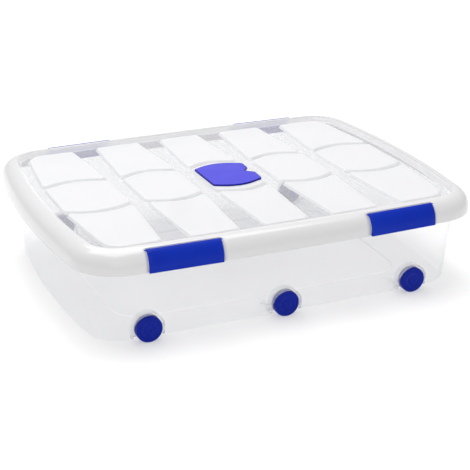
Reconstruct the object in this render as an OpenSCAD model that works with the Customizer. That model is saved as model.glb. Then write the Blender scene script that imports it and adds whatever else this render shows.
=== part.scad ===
// Wheeled under bed box: clear tub, lid with raised pads, four clips, six wheels.
// Millimetres. X runs along the length, Y from front to back, Z up, wheels stand on z = 0.

/* [Overall] */
// Length of the lid, the longest size
lid_length = 790; // [660:1:950]
// Width of the lid from front skirt to rear skirt
lid_width = 612; // [510:1:740]
// Height from the floor to the crest of the lid
box_height = 184.5; // [154:0.5:222]
// Radius of the lid's corners seen from above
corner_radius = 86; // [70:1:104]
// How far each long side bows outward
long_side_bow = 6.4; // [4:0.1:10]
// How far each short side bows outward
short_side_bow = 14.5; // [9:0.1:18]

/* [Walls] */
// Wall thickness of the tub
tub_wall = 2; // [1.6:0.1:2.6]
// Wall thickness of the lid
lid_wall = 2; // [1.6:0.1:2.4]

/* [Lid] */
// Width of the lid's rounded band seen from above
band_width = 28; // [24:0.5:33]
// Height of the rounded part of the band
band_rise = 31.5; // [27:0.5:37]
// Height of the straight skirt below the rounded part
skirt_drop = 6.5; // [5:0.5:8]
// Depth of the lid's panel below the crest
panel_sink = 9.5; // [8:0.5:11]
// Height of the raised pads above the panel
pad_rise = 5; // [4:0.5:6]

/* [Clips] */
// Width of each clip
clip_width = 130; // [108:1:156]
// Thickness of each clip
clip_wall = 2.4; // [2:0.1:2.8]

/* [Wheels] */
// Diameter of each wheel
wheel_diameter = 47.5; // [40:0.5:57]
// Width of each wheel
wheel_width = 15; // [12.5:0.5:18]
// Diameter of the axle pins
axle_diameter = 6; // [5:0.1:7.2]

/* [Hidden] */

clear_colour = [0.88, 0.89, 0.92, 0.45];
lid_colour = [0.94, 0.94, 0.95, 0.75];
blue_colour = [0.02, 0.14, 0.66];

// lid outline, given by its offset inward from the skirt
half_length = lid_length / 2;
half_width = lid_width / 2;
long_arc = ((half_length - corner_radius) ^ 2 + long_side_bow ^ 2) / (2 * long_side_bow);
short_arc = ((half_width - corner_radius) ^ 2 + short_side_bow ^ 2) / (2 * short_side_bow);
skirt_z = box_height - band_rise - skirt_drop;
spring_z = box_height - band_rise;
panel_z = box_height - panel_sink;
pad_z = panel_z + pad_rise;

// tub: the rim follows the inside of the lid's band
ground_gap = 6;
rim_gap = 1.5;
rim_z = box_height - 8.5;
lip_inset = lid_wall + rim_gap;
lip_end_z = spring_z - 1;
wall_inset = 22;
tub_foot_x = half_length - 32;
tub_foot_y = half_width - 48;
tub_top_x = half_length - 17;
tub_top_y = half_width - wall_inset + 2.2;
tub_foot_radius = corner_radius * 0.68;
tub_top_radius = corner_radius * 0.92;
foot_bow_long = long_side_bow * 0.6;
foot_bow_short = short_side_bow * 0.95;
foot_round = 7;
floor_step = 3;
floor_z = ground_gap + tub_wall;
floor_panel_x = tub_foot_x * 0.785;
floor_panel_y = tub_foot_y * 0.7;
floor_panel_radius = corner_radius * 0.55;

// clips and their hinges
clip_x = lid_length * 0.258;
clip_tilt = asin(clip_x / long_arc);
clip_line_y = half_width - long_arc + sqrt(long_arc ^ 2 - clip_x ^ 2);
clip_hinge_angle = 62;
barrel_radius = 2.5;
trunnion_radius = 1.6;
trunnion_length = 3.2;
hinge_clearance = 0.05;
clip_gap = 0.8;
clip_top_inset = band_width * (1 - cos(clip_hinge_angle));
clip_top_z = spring_z + band_rise * sin(clip_hinge_angle);
hinge_sink = barrel_radius - clip_wall / 2;
hinge_inset = clip_top_inset + hinge_sink * cos(clip_hinge_angle);
hinge_z = clip_top_z - hinge_sink * sin(clip_hinge_angle);
bead_clearance = 0.5;
lug_wall = 2.5;

// wheels and axles
wheel_radius = wheel_diameter / 2;
wheel_face_y = half_width - 44;
wheel_x = lid_length * 0.325;
wheel_wall = 2.2;
well_gap = 3.5;
well_radius = wheel_radius + well_gap;
hub_radius = axle_diameter / 2 + 3.5;
axle_radius = axle_diameter / 2;
axle_clearance = 0.05;
boss_height = 4;
well_depth = wheel_width + boss_height + 1;
head_radius = axle_radius + 2.5;
head_height = 2.4;
bead_radius = axle_radius + 0.35;
bead_groove_gap = 0.3;

// centre cap
cap_half_x = lid_length * 0.063;
cap_half_y = lid_width * 0.082;
cap_thickness = 3.2;
post_radius = 3;
post_x = cap_half_x * 0.6;
post_y = cap_half_y * 0.6;

corner_steps = 7;
long_steps = 6;
short_steps = 4;

function unit(v) = v / norm(v);
function arc_points(centre, radius, from, to, steps) = [
    for (i = [0:steps - 1]) let (a = from + (to - from) * i / steps) centre + radius * [cos(a), sin(a)]
];

// where the corner arc's centre lies, for an outline of four large arcs and four corner arcs
function corner_centre(side_x, side_y, reach_x, reach_y) = let (
    between = [-side_x[0], side_y[1]],
    d = norm(between),
    along = (reach_x ^ 2 - reach_y ^ 2 + d ^ 2) / (2 * d),
    off = sqrt(reach_x ^ 2 - along ^ 2),
    u = between / d
) side_x + u * along + [-u[1], u[0]] * off;

// closed outline with bowed sides, anticlockwise from the middle of the right side
function bowed_outline(ax, ay, arc_x, arc_y, radius, inset = 0) = let (
    side_x = [ax - arc_x, 0],
    side_y = [0, ay - arc_y],
    c = corner_centre(side_x, side_y, arc_x - radius, arc_y - radius),
    turn_x = atan2(c[1] - side_x[1], c[0] - side_x[0]),
    turn_y = atan2(c[1] - side_y[1], c[0] - side_y[0]),
    quarter = concat(
        arc_points(side_x, arc_x - inset, 0, turn_x, short_steps),
        arc_points(c, radius - inset, turn_x, turn_y, corner_steps),
        arc_points(side_y, arc_y - inset, turn_y, 90, long_steps)
    ),
    n = len(quarter),
    upper = concat(quarter, [[0, ay - inset]], [for (i = [1:n]) [-quarter[n - i][0], quarter[n - i][1]]]),
    m = len(upper)
) concat(upper, [for (i = [1:m - 2]) -upper[i]]);

function lid_outline(inset) =
    bowed_outline(half_length, half_width, short_arc, long_arc, corner_radius, inset);

function bow_arc(half, radius, bow) = ((half - radius) ^ 2 + bow ^ 2) / (2 * bow);

function tub_outline(level, inset) = let (
    t = (level - ground_gap) / (rim_z - ground_gap),
    ax = tub_foot_x + (tub_top_x - tub_foot_x) * t,
    ay = tub_foot_y + (tub_top_y - tub_foot_y) * t,
    r = tub_foot_radius + (tub_top_radius - tub_foot_radius) * t,
    bow_x = foot_bow_short + (short_side_bow - foot_bow_short) * t,
    bow_y = foot_bow_long + (long_side_bow - foot_bow_long) * t
) bowed_outline(ax, ay, bow_arc(ay, r, bow_x), bow_arc(ax, r, bow_y), r, inset);

function floor_outline(inset) = bowed_outline(
    floor_panel_x, floor_panel_y,
    bow_arc(floor_panel_y, floor_panel_radius, 3), bow_arc(floor_panel_x, floor_panel_radius, 3),
    floor_panel_radius, inset
);

function at_height(points, z) = [for (p = points) [p[0], p[1], z]];

// one closed skin through a stack of rings, first ring underneath, last ring on top
module ring_stack(rings) {
    n = len(rings[0]);
    last = len(rings) - 1;
    polyhedron(
        points = [for (ring = rings) each ring],
        faces = concat(
            [[for (i = [0:n - 1]) i]],
            [for (k = [0:last - 1], i = [0:n - 1])
                let (j = (i + 1) % n)
                [k * n + i, (k + 1) * n + i, (k + 1) * n + j]],
            [for (k = [0:last - 1], i = [0:n - 1])
                let (j = (i + 1) % n)
                [k * n + i, (k + 1) * n + j, k * n + j]],
            [[for (i = [0:n - 1]) last * n + n - 1 - i]]
        )
    );
}

// ---------- tub ----------

// rings of the rolled lip: inset from the lid outline and angle up the band
function lip_ring(shrink, angle) = at_height(
    lid_outline(band_width - (band_width - shrink) * cos(angle)),
    spring_z + (band_rise - shrink) * sin(angle)
);

lip_angles = [0, 20, 38];
lip_top_angle = asin((rim_z - spring_z) / (band_rise - lip_inset));
lip_under_angle = asin((rim_z - tub_wall - spring_z) / (band_rise - lip_inset - tub_wall));

function foot_rings(inset) = [
    for (a = [90, 60, 30])
        let (z = ground_gap + foot_round - (foot_round - inset) * sin(a))
        at_height(
            tub_outline(ground_gap + foot_round, inset + (foot_round - inset) * (1 - cos(a))), z
        )
];

module tub_shell() {
    ring_stack(concat(
        [at_height(floor_outline(tub_wall), ground_gap + floor_step)],
        [at_height(floor_outline(0), ground_gap)],
        foot_rings(0),
        [at_height(tub_outline(ground_gap + foot_round, 0), ground_gap + foot_round)],
        [at_height(tub_outline(rim_z - tub_wall, 0), rim_z - tub_wall)],
        [lip_ring(lip_inset + tub_wall, lip_under_angle)],
        [for (i = [2:-1:0]) lip_ring(lip_inset + tub_wall, lip_angles[i])],
        [at_height(lid_outline(lip_inset + tub_wall), lip_end_z)],
        [at_height(lid_outline(lip_inset), lip_end_z)],
        [for (a = lip_angles) lip_ring(lip_inset, a)],
        [lip_ring(lip_inset, lip_top_angle)],
        [at_height(tub_outline(rim_z, tub_wall), rim_z)],
        [at_height(tub_outline(ground_gap + foot_round, tub_wall), ground_gap + foot_round)],
        [for (i = [2:-1:0]) foot_rings(tub_wall)[i]],
        [at_height(floor_outline(-tub_wall * 0.8), floor_z)],
        [at_height(floor_outline(tub_wall * 0.2), floor_z + floor_step)]
    ));
}

// solid with the tub's outer walls, which trims the wheel housings
module tub_block() {
    ring_stack([
        at_height(tub_outline(ground_gap + foot_round, foot_round * 0.5), ground_gap + 0.2),
        at_height(tub_outline(ground_gap + foot_round, 0.2), ground_gap + foot_round),
        at_height(tub_outline(rim_z - tub_wall, 0.2), rim_z - tub_wall)
    ]);
}

// puts a wheel's parts in place; local +Z is the axle's outward direction, 0 the wheel's face
module at_wheel(column, side) {
    translate([column * wheel_x, side * wheel_face_y, wheel_radius])
        rotate([-side * 90, 0, 0])
            children();
}

module housings() {
    for (column = [-1, 0, 1], side = [-1, 1])
        translate([column * wheel_x, 0, 0]) {
            translate([0, side * wheel_face_y, wheel_radius])
                rotate([-side * 90, 0, 0])
                    translate([0, 0, -well_depth - tub_wall])
                        cylinder(r = well_radius + tub_wall, h = well_depth + tub_wall + 10);
            translate([
                -well_radius - tub_wall,
                side > 0 ? wheel_face_y - well_depth - tub_wall : -wheel_face_y - 10,
                ground_gap
            ])
                cube([(well_radius + tub_wall) * 2, well_depth + tub_wall + 10, wheel_radius - ground_gap]);
        }
}

module wells() {
    for (column = [-1, 0, 1], side = [-1, 1])
        translate([column * wheel_x, 0, 0]) {
            difference() {
                union() {
                    translate([0, side * wheel_face_y, wheel_radius])
                        rotate([-side * 90, 0, 0])
                            translate([0, 0, -well_depth])
                                cylinder(r = well_radius, h = well_depth + 20);
                    translate([
                        -well_radius,
                        side > 0 ? wheel_face_y - well_depth : -wheel_face_y - 20,
                        -10
                    ])
                        cube([well_radius * 2, well_depth + 20, wheel_radius + 10]);
                }
                translate([0, side * wheel_face_y, wheel_radius])
                    rotate([-side * 90, 0, 0])
                        translate([0, 0, -well_depth - 1])
                            cylinder(r = hub_radius, h = boss_height + 1);
            }
            translate([0, side * wheel_face_y, wheel_radius])
                rotate([-side * 90, 0, 0])
                    translate([0, 0, -well_depth - tub_wall - 1])
                        cylinder(r = axle_radius + axle_clearance, h = well_depth);
        }
}

module tub() {
    color(clear_colour)
        difference() {
            union() {
                tub_shell();
                intersection() {
                    housings();
                    tub_block();
                }
            }
            wells();
        }
}

// ---------- lid ----------

function band_ring(shrink, angle) = at_height(
    lid_outline(band_width - (band_width - shrink) * cos(angle)),
    spring_z + (band_rise - shrink) * sin(angle)
);

function band_angle_at(shrink, inset) = acos((band_width - inset) / (band_width - shrink));
function band_height_at(shrink, inset) =
    spring_z + (band_rise - shrink) * sin(band_angle_at(shrink, inset));

seat_inset = 17;
seat_wall = 2;
rib_inset = 25;
rib_wall = 2;
rib_gap = 0.4;
rib_z = rim_z + rib_gap;
trough_inset = 39;
slope_inset = 32;
panel_inset = 52;

module lid_shell() {
    under_z = panel_z - lid_wall;
    ring_stack([
        at_height(lid_outline(trough_inset + 6), under_z),
        at_height(lid_outline(trough_inset - 1), under_z),
        at_height(lid_outline(slope_inset - 1.4), box_height - lid_wall - 0.5),
        at_height(lid_outline(rib_inset + rib_wall), band_height_at(lid_wall, rib_inset + rib_wall)),
        at_height(lid_outline(rib_inset + rib_wall), rib_z),
        at_height(lid_outline(rib_inset), rib_z),
        at_height(lid_outline(rib_inset), band_height_at(lid_wall, rib_inset)),
        at_height(lid_outline(seat_inset + seat_wall), band_height_at(lid_wall, seat_inset + seat_wall)),
        at_height(lid_outline(seat_inset + seat_wall), rim_z),
        at_height(lid_outline(seat_inset), rim_z),
        at_height(lid_outline(seat_inset), band_height_at(lid_wall, seat_inset)),
        band_ring(lid_wall, 38),
        band_ring(lid_wall, 20),
        band_ring(lid_wall, 0),
        at_height(lid_outline(lid_wall), skirt_z),
        at_height(lid_outline(0), skirt_z),
        for (a = [0:18:90]) band_ring(0, a),
        at_height(lid_outline(slope_inset), box_height - 0.6),
        at_height(lid_outline(trough_inset), panel_z),
        at_height(lid_outline(trough_inset + 6), panel_z)
    ]);
}

// pads: column edges as shares of the panel's half length, near the middle and at the outer end
panel_x = half_length - panel_inset;
panel_y = half_width - panel_inset + 6;
column_inner = [0, 0.219, 0.621];
column_outer = [0.157, 0.557, 1];
flare_inner = [0, 0.254, 0.659];
flare_outer = [0.128, 0.525, 1];
row_split = panel_y * 0.254;
row_gap = 8;
row_bulge = 14;
pad_corner = 9;
pad_outer_corner = 36;
pad_bevel = 4;

function panel_edge_x(y) = panel_x - y ^ 2 / (2 * short_arc);
function panel_edge_y(x) = panel_y - x ^ 2 / (2 * long_arc);

function fillet(before, corner, after, radius, steps) = let (
    a = unit(before - corner),
    b = unit(after - corner),
    half = acos(a * b) / 2,
    reach = radius / tan(half),
    centre = corner + unit(a + b) * radius / sin(half),
    start = corner + a * reach - centre,
    sweep = 180 - 2 * half,
    from = atan2(start[1], start[0])
) [for (i = [0:steps]) centre + radius * [cos(from + sweep * i / steps), sin(from + sweep * i / steps)]];

// points from p to q, ends left out, pushed sideways in Y by a shallow arc
function bulged(p, q, bulge, steps) = [
    for (i = [1:steps - 1]) let (u = i / steps) p + (q - p) * u + [0, bulge * 4 * u * (1 - u)]
];

fillet_steps = 4;
edge_steps = 6;

// outline of one pad from its four corners (lower left, lower right, upper right, upper left)
function pad_outline(corners, radii, lower_bulge, upper_bulge) = let (
    ll = fillet(corners[3], corners[0], corners[1], radii[0], fillet_steps),
    lr = fillet(corners[0], corners[1], corners[2], radii[1], fillet_steps),
    ur = fillet(corners[1], corners[2], corners[3], radii[2], fillet_steps),
    ul = fillet(corners[2], corners[3], corners[0], radii[3], fillet_steps)
) concat(
    ll, bulged(ll[fillet_steps], lr[0], lower_bulge, edge_steps),
    lr, ur, bulged(ur[fillet_steps], ul[0], upper_bulge, edge_steps), ul
);

// column edge at depth y, on the right half; side 0 is the inner edge, 1 the outer edge
function column_edge(column, side, y) = let (
    u = max(0, (abs(y) - row_split) / (panel_y - row_split)),
    near = side == 0 ? column_inner[column] : column_outer[column],
    far = side == 0 ? flare_inner[column] : flare_outer[column]
) column == 2 && side == 1 ? panel_edge_x(y) : panel_x * (near + (far - near) * u);

function right_x(column, y) = column >= 0
    ? column_edge(column, 1, y)
    : -column_edge(-column, 0, y);
function left_x(column, y) = column > 0
    ? column_edge(column, 0, y)
    : -column_edge(-column, 1, y);

function pad_ring(column, row, inset, z) = let (
    low = row == 0 ? -row_split : row > 0 ? row_split + row_gap : -panel_edge_y(column * panel_x * 0.4),
    high = row == 0 ? row_split : row < 0 ? -row_split - row_gap : panel_edge_y(column * panel_x * 0.4),
    y0 = low + inset,
    y1 = high - inset,
    corners = [
        [left_x(column, low) + inset, y0], [right_x(column, low) - inset, y0],
        [right_x(column, high) - inset, y1], [left_x(column, high) + inset, y1]
    ],
    radii = [
        for (k = [0:3])
            ((row < 0 && ((column == -2 && k == 0) || (column == 2 && k == 1)))
                || (row > 0 && ((column == 2 && k == 2) || (column == -2 && k == 3)))
                ? pad_outer_corner : pad_corner) - inset * 0.6
    ]
) at_height(pad_outline(
    corners, radii,
    row == 0 ? -row_bulge : row > 0 ? row_bulge : -long_side_bow * 0.1,
    row == 0 ? row_bulge : row < 0 ? -row_bulge : long_side_bow * 0.1
), z);

// skin through matching rings whose outline may be hollow along its lower and upper edges
module pad_stack(rings) {
    n = len(rings[0]);
    last = len(rings) - 1;
    polyhedron(
        points = [for (ring = rings) each ring],
        faces = concat(
            [for (i = [0:n / 2 - 2]) [i, i + 1, n - 2 - i, n - 1 - i]],
            [for (k = [0:last - 1], i = [0:n - 1])
                let (j = (i + 1) % n)
                [k * n + i, (k + 1) * n + i, (k + 1) * n + j]],
            [for (k = [0:last - 1], i = [0:n - 1])
                let (j = (i + 1) % n)
                [k * n + i, (k + 1) * n + j, k * n + j]],
            [for (i = [0:n / 2 - 2])
                [last * n + n - 1 - i, last * n + n - 2 - i, last * n + i + 1, last * n + i]]
        )
    );
}

module pads(inset, drop) {
    for (column = [-2:2], row = [-1:1])
        pad_stack([
            pad_ring(column, row, inset, panel_z - drop - 0.5),
            pad_ring(column, row, inset, panel_z - drop + 0.3),
            pad_ring(column, row, inset + pad_bevel, pad_z - drop)
        ]);
}

// puts a clip's parts in place; local X along the hinge, +Y outward, 0 at the hinge line
module at_clip(column, side) {
    translate([column * clip_x, side * (clip_line_y - hinge_inset), hinge_z])
        rotate(-side * column * clip_tilt)
            scale_side(side)
                children();
}

module scale_side(side) {
    mirror([0, side < 0 ? 1 : 0, 0])
        children();
}

module clip_notch() {
    half = clip_width / 2 + clip_gap;
    back = -barrel_radius - clip_gap;
    translate([-half, back, skirt_z - hinge_z - 1])
        cube([half * 2, 60, hinge_z - skirt_z + 1 + barrel_radius + 10]);
}

// blocks under the band that hold the trunnions; the notch is cut through them afterwards
module hinge_lugs() {
    reach = clip_width / 2 + clip_gap + lug_wall;
    back = -barrel_radius - clip_gap - 1;
    foot = rim_z + 0.6 - hinge_z;
    translate([-reach, back, foot])
        cube([reach * 2, 2 - back, -0.5 - foot]);
    translate([-reach, back, foot])
        cube([reach * 2, -1.5 - back, 1.5 - foot]);
}

function clip_band_point(shrink, angle) = [
    hinge_inset - (band_width - (band_width - shrink) * cos(angle)),
    spring_z + (band_rise - shrink) * sin(angle) - hinge_z
];

module trunnion_bores() {
    length = clip_width / 2 + clip_gap + lug_wall + 1;
    translate([-length, 0, 0])
        rotate([0, 90, 0])
            cylinder(r = trunnion_radius + hinge_clearance, h = length * 2);
}

module lid() {
    color(lid_colour)
        difference() {
            union() {
                lid_shell();
                pads(0, 0);
                for (column = [-1, 1], side = [-1, 1])
                    at_clip(column, side)
                        hinge_lugs();
            }
            pads(lid_wall, lid_wall);
            for (column = [-1, 1], side = [-1, 1])
                at_clip(column, side) {
                    clip_notch();
                    trunnion_bores();
                }
            post_places()
                translate([0, 0, pad_z - lid_wall - 2])
                    cylinder(r = post_radius + hinge_clearance, h = lid_wall + 4);
        }
}

// ---------- centre cap ----------

module post_places() {
    for (x = [-1, 1], y = [-1, 1])
        translate([x * post_x, y * post_y, 0])
            children();
}

function cap_outline(inset) = let (
    x = cap_half_x - inset,
    y = cap_half_y - inset,
    bulge = cap_half_y * 0.25,
    notch = cap_half_x * 0.24,
    r = 7 - inset,
    c = [[-x, -y], [x, -y], [x, y], [-x, y]],
    ll = fillet(c[3], c[0], c[1], r, fillet_steps),
    lr = fillet(c[0], c[1], c[2], r * 1.4, fillet_steps),
    ur = fillet(c[1], c[2], c[3], r * 1.4, fillet_steps),
    ul = fillet(c[2], c[3], c[0], r, fillet_steps)
) concat(
    ll, bulged(ll[fillet_steps], lr[0], -bulge, edge_steps), lr,
    [[x, cap_half_y * -0.22], [x - notch, cap_half_y * 0.06], [x - notch * 0.1, cap_half_y * 0.3]],
    ur, bulged(ur[fillet_steps], ul[0], bulge, edge_steps), ul
);

module centre_cap() {
    color(blue_colour) {
        translate([0, 0, pad_z])
            linear_extrude(cap_thickness - 0.8)
                polygon(cap_outline(0));
        translate([0, 0, pad_z + cap_thickness - 0.9])
            linear_extrude(0.9)
                polygon(cap_outline(0.8));
        post_places() {
            translate([0, 0, pad_z - lid_wall - 1.2])
                cylinder(r = post_radius, h = lid_wall + 2);
            translate([0, 0, pad_z - lid_wall - 1.2])
                cylinder(r = post_radius + 1.2, h = 1.2);
        }
    }
}

// ---------- clips ----------

module clip_profile() {
    outer = -clip_wall / 2;
    inner = clip_wall / 2;
    bead = lip_inset - bead_clearance;
    foot = skirt_z - hinge_z - 0.5;
    polygon(concat(
        [for (a = [0:6:clip_hinge_angle]) clip_band_point(outer, a)],
        [[0, 0]],
        [for (a = [54:-6:0]) clip_band_point(inner, a)],
        [[hinge_inset - inner, foot + 5.4]],
        [[hinge_inset - bead, foot + 3.6]],
        [[hinge_inset - bead, foot + 2.6]],
        [[hinge_inset - inner, foot + 1]],
        [[hinge_inset - inner + 0.4, foot]],
        [[hinge_inset - outer + 0.6, foot]],
        [[hinge_inset - outer, foot + 2.4]]
    ));
}

module clip() {
    color(blue_colour) {
        translate([-clip_width / 2, 0, 0])
            rotate([90, 0, 90])
                linear_extrude(clip_width)
                    clip_profile();
        translate([-clip_width / 2, 0, 0])
            rotate([0, 90, 0])
                cylinder(r = barrel_radius, h = clip_width);
        translate([-clip_width / 2 - trunnion_length, 0, 0])
            rotate([0, 90, 0])
                cylinder(r = trunnion_radius, h = clip_width + trunnion_length * 2);
    }
}

module clip_front_left() {
    at_clip(-1, -1)
        clip();
}

module clip_front_right() {
    at_clip(1, -1)
        clip();
}

module clip_rear_left() {
    at_clip(-1, 1)
        clip();
}

module clip_rear_right() {
    at_clip(1, 1)
        clip();
}

// ---------- wheels and axles ----------

module wheel() {
    tip = -wheel_wall;
    color(blue_colour)
        difference() {
            union() {
                rotate_extrude()
                    polygon([
                        [0, tip], [0, -0.5], [2, -0.5], [2.6, 0], [wheel_radius * 0.72, 0],
                        [wheel_radius * 0.75, -0.5], [wheel_radius * 0.78, 0],
                        [wheel_radius - 1.8, 0], [wheel_radius - 0.6, -0.5],
                        [wheel_radius, -1.8], [wheel_radius, 0.6 - wheel_width],
                        [wheel_radius - 0.6, -wheel_width],
                        [wheel_radius - wheel_wall, -wheel_width], [wheel_radius - wheel_wall, tip]
                    ]);
                translate([0, 0, -wheel_width])
                    cylinder(r = hub_radius, h = wheel_width - 1);
                for (k = [0:5])
                    rotate(k * 60)
                        translate([hub_radius - 1, -0.8, -wheel_width + 4])
                            cube([wheel_radius - wheel_wall - hub_radius + 2, 1.6, wheel_width - 5]);
            }
            translate([0, 0, -wheel_width - 1])
                cylinder(r = axle_radius + axle_clearance, h = wheel_width + 1 - wheel_wall);
            translate([0, 0, -wheel_wall - 3.8])
                cylinder(r = bead_radius + bead_groove_gap, h = 1.6);
        }
}

module axle() {
    tip = -wheel_wall - 0.6;
    back = -well_depth - tub_wall;
    color(blue_colour) {
        translate([0, 0, back])
            cylinder(r = axle_radius, h = tip - back);
        translate([0, 0, back - head_height])
            cylinder(r = head_radius, h = head_height);
        translate([0, 0, -wheel_wall - 3.5])
            cylinder(r = bead_radius, h = 1);
    }
}

module wheel_front_left() {
    at_wheel(-1, -1)
        wheel();
}

module wheel_front_middle() {
    at_wheel(0, -1)
        wheel();
}

module wheel_front_right() {
    at_wheel(1, -1)
        wheel();
}

module wheel_rear_left() {
    at_wheel(-1, 1)
        wheel();
}

module wheel_rear_middle() {
    at_wheel(0, 1)
        wheel();
}

module wheel_rear_right() {
    at_wheel(1, 1)
        wheel();
}

module axle_front_left() {
    at_wheel(-1, -1)
        axle();
}

module axle_front_middle() {
    at_wheel(0, -1)
        axle();
}

module axle_front_right() {
    at_wheel(1, -1)
        axle();
}

module axle_rear_left() {
    at_wheel(-1, 1)
        axle();
}

module axle_rear_middle() {
    at_wheel(0, 1)
        axle();
}

module axle_rear_right() {
    at_wheel(1, 1)
        axle();
}

tub();
lid();
centre_cap();
clip_front_left();
clip_front_right();
clip_rear_left();
clip_rear_right();
wheel_front_left();
wheel_front_middle();
wheel_front_right();
wheel_rear_left();
wheel_rear_middle();
wheel_rear_right();
axle_front_left();
axle_front_middle();
axle_front_right();
axle_rear_left();
axle_rear_middle();
axle_rear_right();
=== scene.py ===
"""A wheeled under bed storage box of clear plastic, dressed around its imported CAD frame.

Sizes are in millimetres until a vertex is made. X runs along the box, Y from front to back and Z up,
with the wheels standing on z = 0.
"""

import logging
import math
from dataclasses import dataclass, field
from enum import Enum
from typing import Iterable, Sequence, Union

import bmesh
import bpy
from mathutils import Matrix, Vector


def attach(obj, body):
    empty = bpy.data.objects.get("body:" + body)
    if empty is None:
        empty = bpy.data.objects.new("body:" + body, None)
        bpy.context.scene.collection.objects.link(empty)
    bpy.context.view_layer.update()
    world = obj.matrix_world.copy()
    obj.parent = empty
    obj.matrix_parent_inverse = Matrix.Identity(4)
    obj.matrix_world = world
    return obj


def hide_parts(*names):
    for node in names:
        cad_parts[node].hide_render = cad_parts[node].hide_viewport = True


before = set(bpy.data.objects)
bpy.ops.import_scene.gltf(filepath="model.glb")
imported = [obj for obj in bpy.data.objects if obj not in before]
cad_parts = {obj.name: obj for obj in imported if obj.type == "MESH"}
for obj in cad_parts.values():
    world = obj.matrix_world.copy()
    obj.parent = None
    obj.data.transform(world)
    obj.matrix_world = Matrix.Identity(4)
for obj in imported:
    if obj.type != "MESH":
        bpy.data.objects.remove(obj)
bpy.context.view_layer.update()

MM = 0.001
LOG = logging.getLogger("under_bed_box")

Point = tuple[float, float]
Ring = list[bmesh.types.BMVert]
Edges = list[bmesh.types.BMEdge]
Faces = list[bmesh.types.BMFace]
Plane = tuple[Vector, Vector]


class Slot(Enum):
    """Material slots that the record names."""

    CLEAR = "clear_plastic"
    FROSTED = "frosted_plastic"
    CLIP = "clip_blue"
    WHEEL = "wheel_blue"
    AXLE = "axle_blue"


class Body(Enum):
    """Bodies that do not come in a row of several."""

    TUB = "tub"
    LID = "lid"


# ---------- shader expressions ----------


class Value:
    """A shader socket that Python operators turn into Math nodes."""

    def __init__(self, shader: "Shader", socket: bpy.types.NodeSocket) -> None:
        """Keeps the socket and the shader that new nodes go into."""
        self.shader = shader
        self.socket = socket

    def _math(self, operation: str, left: "Input", right: "Input") -> "Value":
        """Adds one Math node and returns its result."""
        return self.shader.node("ShaderNodeMath", {"operation": operation}, {0: left, 1: right})

    def __add__(self, other: "Input") -> "Value":
        """This value plus another."""
        return self._math("ADD", self, other)

    def __radd__(self, other: "Input") -> "Value":
        """Another value plus this one."""
        return self._math("ADD", other, self)

    def __sub__(self, other: "Input") -> "Value":
        """This value minus another."""
        return self._math("SUBTRACT", self, other)

    def __rsub__(self, other: "Input") -> "Value":
        """Another value minus this one."""
        return self._math("SUBTRACT", other, self)

    def __mul__(self, other: "Input") -> "Value":
        """This value times another."""
        return self._math("MULTIPLY", self, other)

    def __rmul__(self, other: "Input") -> "Value":
        """Another value times this one."""
        return self._math("MULTIPLY", other, self)

    def __pow__(self, other: "Input") -> "Value":
        """This value raised to a power."""
        return self._math("POWER", self, other)


Input = Union[Value, float, tuple]


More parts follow.
